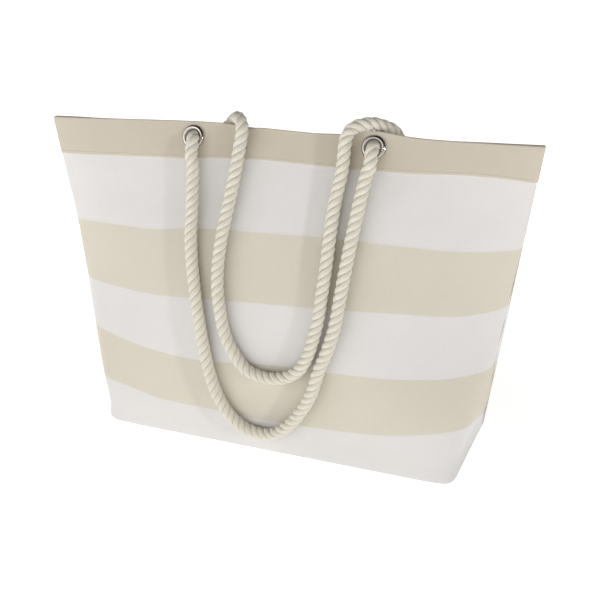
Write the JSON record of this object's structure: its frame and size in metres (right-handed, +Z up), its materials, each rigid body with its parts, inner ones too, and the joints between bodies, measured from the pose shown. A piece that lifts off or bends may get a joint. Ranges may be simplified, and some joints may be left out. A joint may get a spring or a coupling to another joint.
{
  "type": "beach bag",
  "caption": "Open striped canvas tote bag that stands on a boxed base, with two knotted rope handles through eyelets in its rim.",
  "frame": {"origin": "on the ground under the middle of the base", "axes": "+Z up; the front, with both hanging rope loops, faces -Y; +X runs along the rim to the right as seen from the front"},
  "size_m": [0.5432, 0.1499, 0.3713],
  "materials": {
    "striped_canvas": "woven canvas, beige and white stripes",
    "beige_canvas": "woven canvas, one beige",
    "seam_tape": "woven tape",
    "eyelet_nickel": "polished nickel plate",
    "cotton_rope": "three-strand twisted cotton rope"
  },
  "bodies": {
    "bag": {"back_left_eyelet": "eyelet_nickel", "back_left_eyelet_washer": "eyelet_nickel", "back_panel": "striped_canvas", "back_right_eyelet": "eyelet_nickel", "back_right_eyelet_washer": "eyelet_nickel", "back_rim_band": "beige_canvas", "back_rope_end_left": "cotton_rope", "back_rope_end_right": "cotton_rope", "base_panel": "striped_canvas", "front_left_eyelet": "eyelet_nickel", "front_left_eyelet_washer": "eyelet_nickel", "front_panel": "striped_canvas", "front_right_eyelet": "eyelet_nickel", "front_right_eyelet_washer": "eyelet_nickel", "front_rim_band": "beige_canvas", "front_rope_end_left": "cotton_rope", "front_rope_end_right": "cotton_rope", "left_corner_seam": "seam_tape", "left_side_seam": "seam_tape", "right_corner_seam": "seam_tape", "right_side_seam": "seam_tape"},
    "front_handle": {"front_handle_rope": "cotton_rope"},
    "back_rope_bend": {"back_rope_over_rim_left": "cotton_rope", "back_rope_over_rim_right": "cotton_rope"},
    "back_handle": {"back_handle_rope": "cotton_rope"}
  },
  "joints": [
    {"name": "front_handle_lift", "type": "hinge", "parent": "bag", "child": "front_handle", "pos_m": [-0.091, -0.02283, 0.34315], "axis": [-1, 0, 0], "range_deg": [0, 165]},
    {"name": "back_rope_lift", "type": "hinge", "parent": "bag", "child": "back_rope_bend", "pos_m": [-0.05, 0.0155, 0.3643], "axis": [-1, 0, 0], "range_deg": [0, 82]},
    {"name": "back_handle_lift", "type": "hinge", "parent": "back_rope_bend", "child": "back_handle", "pos_m": [-0.036, -0.0145, 0.3643], "axis": [-1, 0, 0], "range_deg": [0, 82]}
  ],
  "couplings": [
    {"joint": "back_handle_lift", "follows": "back_rope_lift", "ratio": 1}
  ]
}
